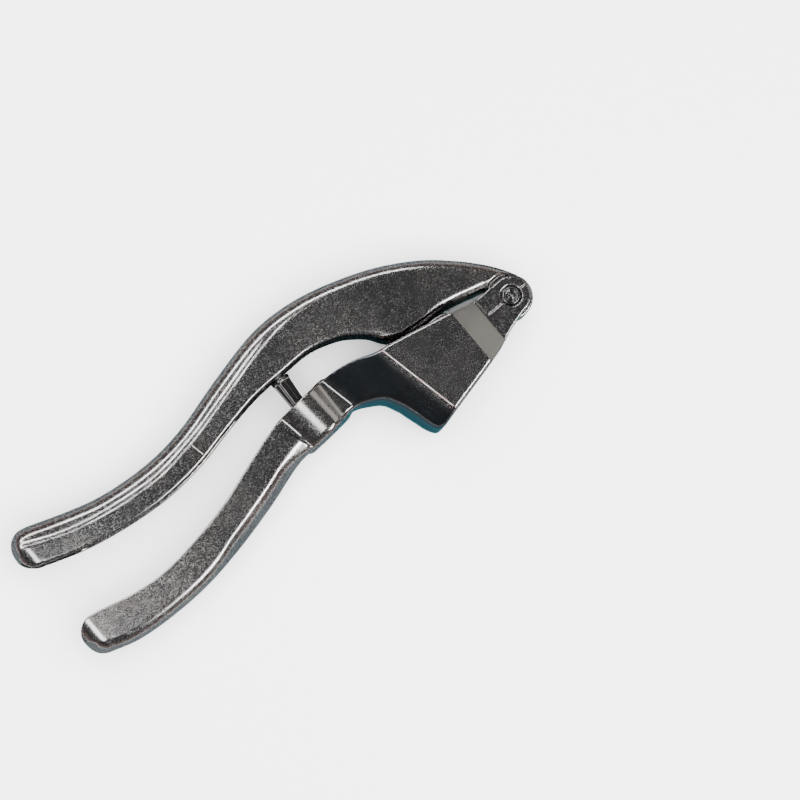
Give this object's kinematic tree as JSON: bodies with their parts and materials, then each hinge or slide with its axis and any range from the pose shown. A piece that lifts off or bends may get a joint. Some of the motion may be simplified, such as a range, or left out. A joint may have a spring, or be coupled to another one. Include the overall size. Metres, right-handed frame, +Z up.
{
  "type": "garlic press",
  "caption": "Cast garlic press lying on its side: hinged handles, hopper with sieve and swinging plunger, and a cherry and olive pitter between the handles.",
  "frame": {"origin": "centre of the footprint on the surface the press lies on, below the middle of its length and breadth", "axes": "+X from the handles' tails to the head with the rivet, +Y from the lower handle to the upper one, +Z up along the rivet's axis; the press lies on the side of its hopper"},
  "size_m": [0.1778, 0.0616, 0.03],
  "materials": {
    "casting": "die casting with a bright dark grey plated finish and fine cast speckle",
    "sieve_steel": "punched stainless sheet",
    "pin_steel": "turned and plated pin",
    "punch_metal": "dark plated cross-ribbed punch"
  },
  "bodies": {
    "lower": {"lower_handle": "casting", "sieve_plate": "sieve_steel", "pivot_rivet": "pin_steel"},
    "upper": {"upper_handle": "casting", "pitting_punch": "punch_metal", "plunger_pin": "pin_steel"},
    "plunger": {"plunger": "casting"}
  },
  "joints": [
    {"name": "handle_hinge", "type": "hinge", "parent": "lower", "child": "upper", "pos_m": [0.08164, -0.01283, 0.015], "axis": [0, 0, -1], "range_deg": [-6, 100]},
    {"name": "plunger_pivot", "type": "hinge", "parent": "upper", "child": "plunger", "pos_m": [0.05214, -0.00633, 0.015], "axis": [0, 0, 1], "range_deg": [-1, 12.5]}
  ],
  "couplings": [
    {"joint": "plunger_pivot", "follows": "handle_hinge", "ratio": 0.12}
  ]
}
